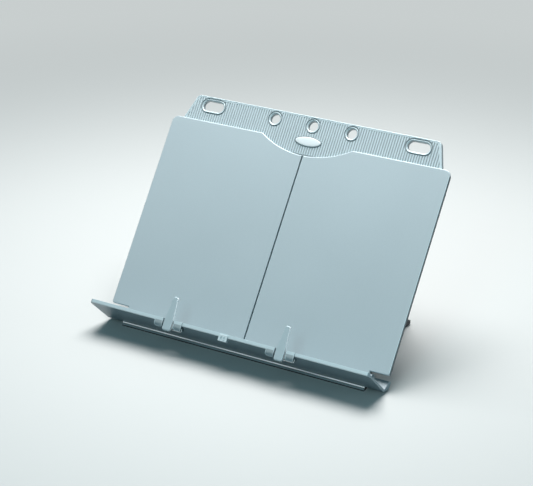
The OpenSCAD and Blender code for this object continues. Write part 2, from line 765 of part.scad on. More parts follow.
module bracket(side) {
    ear_x = knuckle_w / 2 + move_gap;
    color(charcoal) on_panel() difference() {
        union() {
            slab(panel_t + seat_gap, bracket_t) intersection() {
                bracket_base();
                translate([side > 0 ? 0 : -panel_w, 0]) square([panel_w, panel_top]);
            }
            for (turn = [-1, 1])
                across(side * knuckle_x + (turn > 0 ? ear_x : -ear_x - bracket_t), bracket_t) hull() {
                    translate([leg_y, leg_hinge_s]) circle(r = knuckle_r - 1, $fn = 32);
                    translate([panel_t + seat_gap, leg_hinge_s - bracket_h / 2 + cut])
                        square([bracket_t, bracket_h - 2 * cut]);
                }
        }
        rod(-panel_w, 2 * panel_w, leg_y, leg_hinge_s, leg_pin_r + run_fit);
        bracket_screw_places() translate([0, panel_t + bracket_t + cut, 0]) rotate([90, 0, 0])
            cylinder(h = bracket_t + 2 * cut, r = screw_r + run_fit);
    }
}

pin_head_r = 3.2;
module leg_pin(side) color(steel) on_panel() {
    half = knuckle_w / 2 + move_gap + bracket_t + seat_gap;
    rod(side * knuckle_x - half - cut, 2 * (half + cut), leg_y, leg_hinge_s, leg_pin_r);
    for (turn = [-1, 1])
        rod(side * knuckle_x + (turn > 0 ? half : -half - cut), cut, leg_y, leg_hinge_s, pin_head_r);
}

module bracket_screws() color(steel) on_panel() bracket_screw_places()
    translate([0, panel_t + bracket_t + 2 * seat_gap, 0]) {
        rotate([90, 0, 0]) cylinder(h = bracket_t + shell_t, r = screw_r);
        rotate([-90, 0, 0]) cylinder(h = screw_head_h, r = screw_head_r);
    }

back_panel();
leaf(-1);  // left_leaf
leaf(1);  // right_leaf
rear_shell();
badge();
shell_screws();
foot_rail();
foot_pad();
ledge();
edge_tab();
ledge_pin(-1);  // left_ledge_pin
ledge_pin(1);  // right_ledge_pin
clip(-1);  // left_clip
clip(1);  // right_clip
clip_pin(-1);  // left_clip_pin
clip_pin(1);  // right_clip_pin
clip_spring(-1);  // left_clip_spring
clip_spring(1);  // right_clip_spring
rear_leg();
rear_foot(-1);  // left_rear_foot
rear_foot(1);  // right_rear_foot
bracket(-1);  // left_bracket
bracket(1);  // right_bracket
leg_pin(-1);  // left_leg_pin
leg_pin(1);  // right_leg_pin
bracket_screws();
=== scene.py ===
# %% [markdown]
# # A folding book and document stand
# The real object is a desk stand moulded in silver-lacquered plastic. Two smooth leaves carry the pages,
# a ribbed header rises above them, a ledge folds up in front, and an easel leg props it from behind.
# The exact solids come from the CAD model. Blender adds what a maker sees up close: rounded edges,
# round wire, screw heads with a sunk cross, and finishes that are right at their real scale.

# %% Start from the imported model
import json
import math
import bmesh
import bpy
from mathutils import Matrix, Vector


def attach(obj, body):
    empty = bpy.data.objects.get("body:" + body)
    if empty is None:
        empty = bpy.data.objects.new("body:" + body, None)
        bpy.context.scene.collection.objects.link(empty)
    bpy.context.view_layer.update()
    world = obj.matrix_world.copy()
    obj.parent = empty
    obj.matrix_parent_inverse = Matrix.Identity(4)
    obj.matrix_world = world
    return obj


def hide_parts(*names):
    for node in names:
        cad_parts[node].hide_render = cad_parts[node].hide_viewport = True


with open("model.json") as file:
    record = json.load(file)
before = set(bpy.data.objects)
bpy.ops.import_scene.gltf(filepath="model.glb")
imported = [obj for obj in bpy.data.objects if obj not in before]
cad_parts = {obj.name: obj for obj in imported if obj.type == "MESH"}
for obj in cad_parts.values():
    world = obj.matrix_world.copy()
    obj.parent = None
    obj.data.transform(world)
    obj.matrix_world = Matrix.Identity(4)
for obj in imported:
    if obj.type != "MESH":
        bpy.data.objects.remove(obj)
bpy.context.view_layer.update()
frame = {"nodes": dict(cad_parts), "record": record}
nodes = frame["nodes"]
body_of_node = {n: body for body, members in frame["record"]["behaviour"]["bodies"].items() for n in members}

# %% [markdown]
# ## The panel's own axes
# Everything on the stand is drawn along the leaning panel: x to the right, depth behind the leaves'
# front, and height up the panel. One matrix turns those millimetres into the metres of the scene, so
# each piece can be thought of as if the panel stood upright.

# %% The matrix that leans the panel
MM = 0.001
LEAN = math.radians(36)
PAD_HEIGHT = 4.0
PAD_MIDDLE = PAD_HEIGHT / math.tan(LEAN) / math.cos(LEAN) / 2
ON_PANEL = (Matrix.Translation((0, -PAD_MIDDLE * MM, 0)) @ Matrix.Rotation(-LEAN, 4, "X")
            @ Matrix.Scale(MM, 4))
print("panel origin:", [round(v, 5) for v in ON_PANEL.translation])

# %% [markdown]
# ## Finishes
# Three effects are shared by several finishes, so each one is a node group with named inputs: metal
# flakes in lacquer, the grain of a moulding tool, and the drawn lines of steel. They only give out
# colours and heights that vary over the surface. The shader and its fixed values stay in each material.

# %% Helpers for node groups and materials
def new_group(name, inputs, outputs):
    """An empty shader node group with named sockets."""
    group = bpy.data.node_groups.new(name, "ShaderNodeTree")
    for label, kind, value in inputs:
        socket = group.interface.new_socket(name=label, in_out="INPUT", socket_type=kind)
        socket.default_value = value
    for label, kind in outputs:
        group.interface.new_socket(name=label, in_out="OUTPUT", socket_type=kind)
    return group, group.nodes.new("NodeGroupInput"), group.nodes.new("NodeGroupOutput")


def wire(tree, source, source_socket, target, target_socket):
    """Joins two nodes' sockets by name or number."""
    tree.links.new(source.outputs[source_socket], target.inputs[target_socket])


def math_node(tree, operation, first, second):
    """A Math node fed by (node, socket) pairs or plain numbers."""
    node = tree.nodes.new("ShaderNodeMath")
    node.operation = operation
    for index, value in enumerate((first, second)):
        if isinstance(value, tuple):
            wire(tree, value[0], value[1], node, index)
        else:
            node.inputs[index].default_value = value
    return node


def tinted(tree, colour, factor):
    """Multiplies a colour by a grey factor. Both are (node, socket) pairs."""
    mix = tree.nodes.new("ShaderNodeMix")
    mix.data_type = "RGBA"
    mix.blend_type = "MULTIPLY"
    mix.inputs[0].default_value = 1.0
    tree.links.new(colour[0].outputs[colour[1]], mix.inputs[6])
    tree.links.new(factor[0].outputs[factor[1]], mix.inputs[7])
    return mix, 2


def noise(tree, place, scale, detail=2.0, roughness=0.5):
    """A noise texture on a vector; scale is in features per metre, as a number or a (node, socket)."""
    node = tree.nodes.new("ShaderNodeTexNoise")
    node.inputs["Detail"].default_value = detail
    node.inputs["Roughness"].default_value = roughness
    wire(tree, place[0], place[1], node, "Vector")
    if isinstance(scale, tuple):
        wire(tree, scale[0], scale[1], node, "Scale")
    else:
        node.inputs["Scale"].default_value = scale
    return node


def swing(tree, source, amount):
    """Turns a 0 to 1 texture into a factor about 1 that swings by amount, a (node, socket) or number."""
    centred = math_node(tree, "SUBTRACT", source, 0.5)
    scaled = math_node(tree, "MULTIPLY", (centred, 0), amount)
    return math_node(tree, "ADD", (scaled, 0), 1.0)


# %% Flakes in lacquer
flakes, flakes_in, flakes_out = new_group(
    "Lacquer flakes",
    [("Colour", "NodeSocketColor", (0.5, 0.5, 0.5, 1)), ("Flake scale", "NodeSocketFloat", 1400.0),
     ("Flake strength", "NodeSocketFloat", 0.12), ("Drift", "NodeSocketFloat", 0.05)],
    [("Colour", "NodeSocketColor"), ("Roughness", "NodeSocketFloat"), ("Height", "NodeSocketFloat")])
place = flakes.nodes.new("ShaderNodeTexCoord")
fine = noise(flakes, (place, "Object"), (flakes_in, "Flake scale"), detail=1.0)
slow = noise(flakes, (place, "Object"), 9.0, detail=2.0)
speckle = swing(flakes, (fine, 0), (flakes_in, "Flake strength"))
drift = swing(flakes, (slow, 0), (flakes_in, "Drift"))
both = math_node(flakes, "MULTIPLY", (speckle, 0), (drift, 0))
painted = tinted(flakes, (flakes_in, "Colour"), (both, 0))
wire(flakes, painted[0], painted[1], flakes_out, "Colour")
rough = math_node(flakes, "MULTIPLY_ADD", (slow, 0), 0.10)
rough.inputs[2].default_value = 0.36
wire(flakes, rough, 0, flakes_out, "Roughness")
wire(flakes, fine, 0, flakes_out, "Height")

# %% Grain of a moulding tool
grain, grain_in, grain_out = new_group(
    "Moulded grain",
    [("Colour", "NodeSocketColor", (0.1, 0.1, 0.1, 1)), ("Grain scale", "NodeSocketFloat", 1500.0),
     ("Strength", "NodeSocketFloat", 0.3)],
    [("Colour", "NodeSocketColor"), ("Roughness", "NodeSocketFloat"), ("Height", "NodeSocketFloat")])
place = grain.nodes.new("ShaderNodeTexCoord")
cells = grain.nodes.new("ShaderNodeTexVoronoi")
wire(grain, place, "Object", cells, "Vector")
wire(grain, grain_in, "Grain scale", cells, "Scale")
cloud = noise(grain, (place, "Object"), 35.0, detail=3.0)
tone = swing(grain, (cloud, 0), (grain_in, "Strength"))
shaded = tinted(grain, (grain_in, "Colour"), (tone, 0))
wire(grain, shaded[0], shaded[1], grain_out, "Colour")
rough = math_node(grain, "MULTIPLY_ADD", (cloud, 0), 0.18)
rough.inputs[2].default_value = 0.5
wire(grain, rough, 0, grain_out, "Roughness")
wire(grain, cells, "Distance", grain_out, "Height")

# %% Lines of drawn steel
drawn, drawn_in, drawn_out = new_group(
    "Drawn lines",
    [("Colour", "NodeSocketColor", (0.5, 0.5, 0.5, 1)), ("Strength", "NodeSocketFloat", 0.2)],
    [("Colour", "NodeSocketColor"), ("Roughness", "NodeSocketFloat"), ("Height", "NodeSocketFloat")])
place = drawn.nodes.new("ShaderNodeTexCoord")
stretch = drawn.nodes.new("ShaderNodeMapping")
stretch.inputs["Scale"].default_value = (300.0, 6000.0, 6000.0)
wire(drawn, place, "Object", stretch, "Vector")
lines = noise(drawn, (stretch, "Vector"), 1.0, detail=3.0)
tone = swing(drawn, (lines, 0), (drawn_in, "Strength"))
shaded = tinted(drawn, (drawn_in, "Colour"), (tone, 0))
wire(drawn, shaded[0], shaded[1], drawn_out, "Colour")
rough = math_node(drawn, "MULTIPLY_ADD", (lines, 0), 0.2)
rough.inputs[2].default_value = 0.22
wire(drawn, rough, 0, drawn_out, "Roughness")
wire(drawn, lines, 0, drawn_out, "Height")


# %% One maker for every finish
def finish(name, group, colour, values=(), bump=0.2, bump_distance=0.00002, metallic=0.0, coat=0.0):
    """A Principled material whose varying channels come from one of the groups above."""
    material = bpy.data.materials.new(name)
    material.use_nodes = True
    tree = material.node_tree
    shader = tree.nodes["Principled BSDF"]
    effect = tree.nodes.new("ShaderNodeGroup")
    effect.node_tree = group
    effect.inputs["Colour"].default_value = (*colour, 1)
    for label, value in values:
        effect.inputs[label].default_value = value
    wire(tree, effect, "Colour", shader, "Base Color")
    wire(tree, effect, "Roughness", shader, "Roughness")
    relief = tree.nodes.new("ShaderNodeBump")
    relief.inputs["Strength"].default_value = bump
    relief.inputs["Distance"].default_value = bump_distance
    wire(tree, effect, "Height", relief, "Height")
    wire(tree, relief, "Normal", shader, "Normal")
    shader.inputs["Metallic"].default_value = metallic
    shader.inputs["Coat Weight"].default_value = coat
    shader.inputs["Coat Roughness"].default_value = 0.12
    return material


# %% Colours of the finishes
LEAF_SILVER = (0.44, 0.515, 0.545)
RIBBED_SILVER = (0.54, 0.635, 0.67)
# Painted shade: the collars' slope is darker than the header's silver to hold down its light.
COLLAR_SHADE_SILVER = (0.47, 0.55, 0.575)
LIP_SILVER = (0.56, 0.66, 0.69)
# Painted highlight: the brighter colour of rounded edge strips.
EDGE_HIGHLIGHT_SILVER = (0.56, 0.67, 0.70)
# Painted highlight: the ledge's front rim, brighter than the leaves' silver.
RIM_HIGHLIGHT_SILVER = (0.57, 0.68, 0.715)
TRIM_SILVER = (0.60, 0.70, 0.73)
# Painted shade: the ledge's silver is darker than the leaves' to darken its shaded underside.
LEDGE_SHADE_SILVER = (0.26, 0.335, 0.37)
# Painted shade: the dark shelf inside the ledge.
SHELF_SHADE_SILVER = (0.16, 0.21, 0.235)
# Painted shade: the foot rail's silver is darker because it lies under the ledge.
RAIL_SHADE_SILVER = (0.22, 0.27, 0.29)
# Painted shade: the dark colour of walls and gaps that stand in shadow.
PAINTED_SHADE_SILVER = (0.13, 0.17, 0.19)
CLIP_SILVER = (0.43, 0.53, 0.565)
# Painted highlight: near-white side walls of the clips.
CLIP_HIGHLIGHT_SILVER = (0.93, 0.96, 0.97)
BADGE_WHITE = (0.72, 0.77, 0.78)
CHARCOAL = (0.045, 0.058, 0.066)
# Painted highlight: lighter charcoal on the rounded edges of the rear parts.
CHARCOAL_HIGHLIGHT = (0.09, 0.105, 0.115)
RUBBER = (0.016, 0.017, 0.019)
STEEL = (0.52, 0.56, 0.58)
POLISHED_STEEL = (0.84, 0.93, 0.96)
COARSE = [("Flake scale", 1300.0)]
FINE = [("Flake scale", 1800.0)]

# %% The finishes
leaf_lacquer = finish("Leaf lacquer", flakes, LEAF_SILVER, COARSE, bump=0.12, metallic=0.12)
header_lacquer = finish("Header lacquer", flakes, RIBBED_SILVER, COARSE, metallic=0.25)
# Darker ledge silver: painted shade.
ledge_shade_lacquer = finish("Ledge silver with painted shade", flakes, LEDGE_SHADE_SILVER, COARSE, metallic=0.05)
# Painted shade on the shelf inside the ledge.
shelf_shade_lacquer = finish("Shelf painted shade", flakes, SHELF_SHADE_SILVER, COARSE, metallic=0.1)
# Painted highlight on the ledge's front rim.
rim_highlight_lacquer = finish("Rim painted highlight", flakes, RIM_HIGHLIGHT_SILVER, COARSE, metallic=0.2)
bead_steel = finish("Bead steel", drawn, POLISHED_STEEL, bump=0.1, metallic=1.0)
# Painted highlight on rounded edges.
edge_highlight_lacquer = finish("Painted edge highlight", flakes, EDGE_HIGHLIGHT_SILVER, [("Drift", 0.1)], bump=0.05, metallic=0.3)
clip_lacquer = finish("Clip lacquer", flakes, CLIP_SILVER, FINE, metallic=0.25)
# Painted highlight on the clips' side walls.
clip_highlight_lacquer = finish("Clip painted highlight", flakes, CLIP_HIGHLIGHT_SILVER, FINE, metallic=0.1)
trim_lacquer = finish("Trim lacquer", flakes, TRIM_SILVER, FINE, metallic=0.25)
# Painted shade on the foot rail.
rail_shade_lacquer = finish("Rail painted shade", flakes, RAIL_SHADE_SILVER, FINE)
charcoal_plastic = finish("Charcoal plastic", grain, CHARCOAL, [("Strength", 0.35)], bump=0.35)
# Painted highlight on the charcoal parts' rounded edges.
charcoal_edge_highlight = finish("Charcoal edge highlight", grain, CHARCOAL_HIGHLIGHT, [("Strength", 0.3)], bump=0.1)
black_rubber = finish("Black rubber", grain, RUBBER, [("Grain scale", 2200.0)], bump=0.5)
drawn_steel = finish("Drawn steel", drawn, STEEL, bump=0.1, metallic=1.0)
# Painted shade for shaded walls, gaps and the line round the badge.
shade_lacquer = finish("Shade lacquer", flakes, PAINTED_SHADE_SILVER, FINE)
# Painted shade on the sloped collars.
dish_shade_lacquer = finish("Dish painted shade", flakes, COLLAR_SHADE_SILVER, COARSE, metallic=0.15)
lip_lacquer = finish("Lip lacquer", flakes, LIP_SILVER, FINE, metallic=0.25)
badge_enamel = finish("Badge enamel", flakes, BADGE_WHITE, [("Flake strength", 0.03)], bump=0.03, coat=0.8)
print("finishes:", len(bpy.data.materials))

# %% [markdown]
# ## Painted shade in the grooves
# The header's ribs stand only 0.6 mm proud, so their grooves are darkened in the colour as painted shade,
# and they read as clear dark lines. A last group darkens the colour between two distances along one
# direction. Into the panel, it paints shade into the header's grooves and the foot rail's. Down the panel,
# it paints shade on the lower part of the ledge's rim.

# %% Painted shade in the grooves
grooves, grooves_in, grooves_out = new_group(
    "Painted shade in grooves",
    [("Colour", "NodeSocketColor", (0.5, 0.5, 0.5, 1)), ("Darkening", "NodeSocketFloat", 0.5),
     ("Crest", "NodeSocketFloat", 0.00262), ("Floor", "NodeSocketFloat", 0.0031),
     ("Direction", "NodeSocketVector", (0, 0.809, -0.588))],
    [("Colour", "NodeSocketColor")])
place = grooves.nodes.new("ShaderNodeTexCoord")
shifted = grooves.nodes.new("ShaderNodeVectorMath")
shifted.inputs[1].default_value = (0, PAD_MIDDLE * MM, 0)
wire(grooves, place, "Object", shifted, 0)
along = grooves.nodes.new("ShaderNodeVectorMath")
along.operation = "DOT_PRODUCT"
wire(grooves, shifted, 0, along, 0)
wire(grooves, grooves_in, "Direction", along, 1)
sunk = grooves.nodes.new("ShaderNodeMapRange")
sunk.inputs["To Min"].default_value = 1.0
sunk.clamp = True
wire(grooves, along, "Value", sunk, "Value")
wire(grooves, grooves_in, "Crest", sunk, "From Min")
wire(grooves, grooves_in, "Floor", sunk, "From Max")
floor_tone = math_node(grooves, "SUBTRACT", 1.0, (grooves_in, "Darkening"))
wire(grooves, floor_tone, 0, sunk, "To Max")
shade_painted = tinted(grooves, (grooves_in, "Colour"), (sunk, "Result"))
wire(grooves, shade_painted[0], shade_painted[1], grooves_out, "Colour")

INTO_PANEL = (0, math.cos(LEAN), -math.sin(LEAN))
DOWN_PANEL = (0, -math.sin(LEAN), -math.cos(LEAN))


def paint_groove_shade(material, darkening, crest, low, direction=INTO_PANEL):
    """Darkens a lacquer between two distances along a direction from the panel's foot, in millimetres: painted
    shade.
    """
    tree = material.node_tree
    groove = tree.nodes.new("ShaderNodeGroup")
    groove.node_tree = grooves
    for label, value in (("Darkening", darkening), ("Crest", crest * MM), ("Floor", low * MM),
                         ("Direction", direction)):
        groove.inputs[label].default_value = value
    flake_node = next(node for node in tree.nodes if node.type == "GROUP" and node.node_tree == flakes)
    wire(tree, flake_node, "Colour", groove, "Colour")
    wire(tree, groove, "Colour", tree.nodes["Principled BSDF"], "Base Color")


# Painted shade in the header's grooves, the foot rail's groove and the lower band of the ledge's rim.
paint_groove_shade(header_lacquer, darkening=0.45, crest=2.62, low=3.1)
paint_groove_shade(rail_shade_lacquer, darkening=0.8, crest=0.1, low=0.4)
paint_groove_shade(rim_highlight_lacquer, darkening=0.45, crest=-14.4, low=-13.2, direction=DOWN_PANEL)

# %% [markdown]
# ## Softened copies of the solids
# A moulding never has a knife edge, and the thin bright line along each edge is what makes plastic look
# real; here that line is a painted highlight. A CAD solid is copied, its loose triangles are merged into
# clean faces, and a small Bevel rounds every edge. The new strips get a brighter colour as that highlight.
#
# A rule can look at a face's place and direction and pick its lacquer: painted shade on the shelf inside
# the ledge, a painted highlight on a clip's walls. The collars round the header's holes also slope inwards,
# and for that their inner edge is sunk before the edges are rounded; their darker silver is painted shade.

# %% Where the header's holes are
PANEL_WIDTH, PANEL_TOP, HEADER_HEIGHT, LEAF_THICKNESS = 384.0, 273.0, 32.2, 2.6
HEADER_TOP = PANEL_TOP + HEADER_HEIGHT
HOLE_DIAMETER, HOLE_GAP, HOLE_DROP, COLLAR_WALL = 13.0, 53.0, 11.6, 1.7
SLOT_LENGTH, SLOT_MIDDLE = 29.0, 142.0
COLLAR_SINK = 0.7
TO_PANEL = ON_PANEL.inverted()
hole_height = HEADER_TOP - HOLE_DROP


def from_hole(x, height):
    """Distance of a point on the panel from the middle line of the nearest hole."""
    reach = (SLOT_LENGTH - HOLE_DIAMETER) / 2
    round_holes = [math.hypot(x - i * HOLE_GAP, height - hole_height) for i in (-1, 0, 1)]
    past_slot = max(0.0, abs(abs(x) - SLOT_MIDDLE) - reach)
    return min(round_holes + [math.hypot(past_slot, height - hole_height)])


def dished_collars(work):
    """Sinks the inner edge of each collar, so that the collar's face slopes into its hole."""
    for vert in work.verts:
        place = TO_PANEL @ vert.co
        if abs(place.y - LEAF_THICKNESS) < 0.05 and from_hole(place.x, place.z) < HOLE_DIAMETER / 2 + 0.2:
            place.y += COLLAR_SINK
            vert.co = ON_PANEL @ place


# %% Copy, clean and round a solid
def place_piece(obj, body, replaced=()):
    """Puts a finished piece on its body."""
    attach(obj, body)
    if replaced:
        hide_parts(*replaced)
    return obj


def mesh_object(name, mesh, materials):
    """A linked object for a mesh, with its materials."""
    obj = bpy.data.objects.new(name, mesh)
    bpy.context.scene.collection.objects.link(obj)
    chosen = [polygon.material_index for polygon in mesh.polygons]
    mesh.materials.clear()
    for material in materials:
        mesh.materials.append(material)
    if len(materials) > 1:
        mesh.polygons.foreach_set("material_index", chosen)
    return obj


def applied(obj):
    """Turns an object's modifiers into a plain mesh."""
    evaluated = obj.evaluated_get(bpy.context.evaluated_depsgraph_get())
    mesh = bpy.data.meshes.new_from_object(evaluated)
    obj.modifiers.clear()
    old = obj.data
    obj.data = mesh
    bpy.data.meshes.remove(old)
    return obj


def even_shading(obj, sharp=32.0):
    """Smooth shading in which the large faces keep their own direction."""
    for polygon in obj.data.polygons:
        polygon.use_smooth = True
    obj.data.set_sharp_from_angle(angle=math.radians(sharp))
    weighted = obj.modifiers.new("Even shading", "WEIGHTED_NORMAL")
    weighted.keep_sharp = True
    weighted.weight = 80
    return applied(obj)


def softened(node, materials, width=0.25, segments=2, sharp=28.0, face_rule=None, reshape=None):
    """A copy of a CAD node with rounded edges, in millimetres; the rule picks a face's material."""
    mesh = nodes[node].data.copy()
    work = bmesh.new()
    work.from_mesh(mesh)
    bmesh.ops.remove_doubles(work, verts=work.verts, dist=0.00001)
    if reshape:
        reshape(work)
    bmesh.ops.dissolve_limit(work, angle_limit=math.radians(0.6), verts=work.verts, edges=work.edges)
    work.normal_update()
    for face in work.faces:
        face.smooth = True
        face.material_index = face_rule(face.calc_center_median(), face.normal) if face_rule else 0
    work.to_mesh(mesh)
    work.free()
    obj = mesh_object(node + "_soft", mesh, materials)
    bevel = obj.modifiers.new("Rounded edges", "BEVEL")
    bevel.width = width * MM
    bevel.segments = segments
    bevel.limit_method = "ANGLE"
    bevel.angle_limit = math.radians(sharp)
    # The bevel strips take the last material; on most pieces that is a brighter colour, a painted highlight.
    bevel.material = len(materials) - 1
    bevel.use_clamp_overlap = True
    applied(obj)
    even_shading(obj)
    place_piece(obj, body_of_node[node], [node])
    print(obj.name, "faces:", len(obj.data.polygons))
    return obj


# %% Rules that pick a face's lacquer
PANEL_FACING = -Vector(INTO_PANEL)
SHELF_FACING = Vector((0, 0.2, 0.98))
CLIPS_REACH = 100.0


def clip_face(centre, normal):
    """Side walls of a clip take a painted highlight."""
    return 1 if abs(normal.x) > 0.6 else 0


def header_face(centre, normal):
    """The sloped collars round the holes take a darker silver and the panel's side walls take the dark one, both
    painted shade.
    """
    place = TO_PANEL @ centre
    # Side walls: painted shade.
    if abs(normal.x) > 0.9 and abs(place.x) > PANEL_WIDTH / 2 - 1:
        return 2
    sloped = 0.85 < normal.dot(PANEL_FACING) < 0.99 and place.y < LEAF_THICKNESS + 2 * COLLAR_SINK
    return 1 if sloped and from_hole(place.x, place.z) < HOLE_DIAMETER / 2 + COLLAR_WALL else 0


def ledge_face(centre, normal):
    """The shelf inside and the walls beside the clips take painted shade, the front rim a painted highlight."""
    # Walls beside the clips take painted shade.
    if abs(normal.x) > 0.6:
        return 3 if abs(centre.x) < CLIPS_REACH * MM else 0
    if normal.dot(SHELF_FACING) > 0.6:
        return 1
    # Front rim: painted highlight.
    return 2 if normal.dot(PANEL_FACING) > 0.9 else 0


# %% The softened solids
softened("back_panel", (header_lacquer, dish_shade_lacquer, shade_lacquer, edge_highlight_lacquer), width=0.18,
         face_rule=header_face, reshape=dished_collars)
softened("ledge", (ledge_shade_lacquer, shelf_shade_lacquer, rim_highlight_lacquer, shade_lacquer, edge_highlight_lacquer), width=0.35,
         segments=3, face_rule=ledge_face)
softened("edge_tab", (trim_lacquer, edge_highlight_lacquer), width=0.25)
for node in ("left_clip", "right_clip"):
    softened(node, (clip_lacquer, clip_highlight_lacquer), width=0.55, segments=3, face_rule=clip_face)
softened("foot_rail", (rail_shade_lacquer,), width=0.12)
softened("rear_shell", (charcoal_plastic, charcoal_edge_highlight), width=0.25)
softened("rear_leg", (charcoal_plastic, charcoal_edge_highlight), width=0.4, segments=3)
for node in ("left_bracket", "right_bracket"):
    softened(node, (charcoal_plastic, charcoal_edge_highlight), width=0.35)
softened("foot_pad", (black_rubber,), width=0.25)
for node in ("left_rear_foot", "right_rear_foot"):
    softened(node, (black_rubber,), width=0.5, segments=3)
softened("badge", (badge_enamel,), width=0.1)
for node in ("left_ledge_pin", "right_ledge_pin", "left_clip_pin", "right_clip_pin", "left_leg_pin",
             "right_leg_pin"):
    softened(node, (drawn_steel,), width=0.12, sharp=40.0)

# %% [markdown]
# ## The two leaves
# Each leaf is a flat plate whose front edge rolls over in a small quarter round. Its outline is a rule:
# a square foot, a notch where the ledge turns, a round upper corner, and half of the finger dip. The
# plate is built as rings of that outline, each a little further in and a little further forward. The
# walls at the seam and at the sides are painted dark as shade. The right leaf's rounds above those walls
# carry a painted highlight.

# %% Outline of a leaf
LEAF_FOOT = 5.7
NOTCH_WIDTH, NOTCH_TOP = 24.5, 24.6
LEAF_CORNER = 8.0
FOOT_CORNER = 3.0
SEAM = 1.6
DIP_WIDTH, DIP_DEPTH = 125.0, 18.0
DIP_RADIUS = ((DIP_WIDTH / 2) ** 2 + DIP_DEPTH ** 2) / (2 * DIP_DEPTH)


def arc(centre, radius, start, end, steps):
    """Points along an arc; angles in degrees."""
    angles = [math.radians(start + (end - start) * i / steps) for i in range(steps + 1)]
    return [(centre[0] + radius * math.cos(a), centre[1] + radius * math.sin(a)) for a in angles]


def leaf_outline():
    """The right leaf's outline, anticlockwise as the reader sees it."""
    half = PANEL_WIDTH / 2
    dip_end = math.degrees(math.asin(DIP_WIDTH / 2 / DIP_RADIUS))
    seam_end = math.degrees(math.asin(SEAM / 2 / DIP_RADIUS))
    dip_centre = (0, PANEL_TOP - DIP_DEPTH + DIP_RADIUS)
    points = [(SEAM / 2, LEAF_FOOT), (half - NOTCH_WIDTH, LEAF_FOOT), (half - NOTCH_WIDTH, NOTCH_TOP)]
    points += arc((half - FOOT_CORNER, NOTCH_TOP + FOOT_CORNER), FOOT_CORNER, -90, 0, 8)
    points += arc((half - LEAF_CORNER, PANEL_TOP - LEAF_CORNER), LEAF_CORNER, 0, 90, 16)
    points += arc(dip_centre, DIP_RADIUS, -90 + dip_end, -90 + seam_end, 40)
    return points


def moved_in(outline, distances):
    """The outline moved inwards along its mitres, each point by its own distance."""
    moved = []
    count = len(outline)
    for i, point in enumerate(outline):
        before = Vector(point) - Vector(outline[i - 1])
        after = Vector(outline[(i + 1) % count]) - Vector(point)
        normals = [Vector((-edge.y, edge.x)).normalized() for edge in (before, after)]
        mitre = (normals[0] + normals[1]).normalized()
        moved.append(Vector(point) + mitre * distances[i] / max(mitre.dot(normals[0]), 0.4))
    return moved


# %% Plates with a rolled front edge
SEAM_ROLL, EDGE_ROLL = 0.9, 1.2
SHADE_STRIPS, SHADE_STRIPS_BELOW_HIGHLIT_SEAM = 4, 2


def rolled_plate(name, outline, back_depth, front_depth, rolls, shaded_levels=None, highlit=None, steps=5):
    """A plate between two depths with a quarter-round front edge; each point has its own radius. Shaded_levels
    is the number of strips, wall first, with the third material, painted shade. Highlit ones further on take the
    second, a painted highlight."""
    shaded_levels = shaded_levels or [0] * len(outline)
    highlit = highlit or [False] * len(outline)
    turns = [math.pi / 2 * k / steps for k in range(steps + 1)]
    rings = [([0.0] * len(outline), [back_depth] * len(outline))]
    rings += [([r * (1 - math.cos(turn)) for r in rolls], [front_depth + r * (1 - math.sin(turn)) for r in rolls])
              for turn in turns]
    work = bmesh.new()
    loops = []
    for insets, depths in rings:
        points = moved_in(outline, insets)
        loops.append([work.verts.new(ON_PANEL @ Vector((p.x, depth, p.y))) for p, depth in zip(points, depths)])
    for level, (low_ring, high_ring) in enumerate(zip(loops, loops[1:])):
        for i in range(len(outline)):
            j = (i + 1) % len(outline)
            strip = work.faces.new((low_ring[i], low_ring[j], high_ring[j], high_ring[i]))
            # Wall strips take painted shade; highlit rounds take a painted highlight.
            if level < min(shaded_levels[i], shaded_levels[j]):
                strip.material_index = 2
            elif highlit[i] and highlit[j]:
                strip.material_index = 1
    work.faces.new(loops[-1])
    work.faces.new(list(reversed(loops[0])))
    bmesh.ops.recalc_face_normals(work, faces=work.faces)
    mesh = bpy.data.meshes.new(name)
    bmesh.ops.triangulate(work, faces=[face for face in work.faces if len(face.verts) > 4])
    work.to_mesh(mesh)
    work.free()
    return mesh


right_outline = leaf_outline()
left_outline = [(-x, s) for x, s in reversed(right_outline)]
for side, outline in (("left", left_outline), ("right", right_outline)):
    at_seam = [abs(x) < 2 * SEAM for x, s in outline]
    at_side = [abs(x) > PANEL_WIDTH / 2 - 0.5 for x, s in outline]
    rolls = [SEAM_ROLL if seam else EDGE_ROLL for seam in at_seam]
    # Painted highlight on the right leaf's seam and side rounds, painted shade on the walls below.
    highlit = [side == "right" and (seam or edge) for seam, edge in zip(at_seam, at_side)]
    seam_strips = SHADE_STRIPS_BELOW_HIGHLIT_SEAM if side == "right" else SHADE_STRIPS
    shaded_levels = [seam_strips * seam + SHADE_STRIPS * edge for seam, edge in zip(at_seam, at_side)]
    leaf = mesh_object(side + "_leaf_plate",
                       rolled_plate(side + "_leaf_plate", outline, LEAF_THICKNESS, 0.0, rolls, shaded_levels, highlit),
                       [leaf_lacquer, edge_highlight_lacquer, shade_lacquer])
    even_shading(leaf)
    place_piece(leaf, "panel", [side + "_leaf"])
    print(leaf.name, "faces:", len(leaf.data.polygons))

# %% [markdown]
# ## Tubes along a path
# The springs are round wire wound on a pin, and every hole and the header's border have a rounded lip.
# All of them are one rule: a path and a round section swept along it. A Geometry Nodes tree does the
# sweep, and its result becomes a plain mesh, because an exported model keeps no modifier.

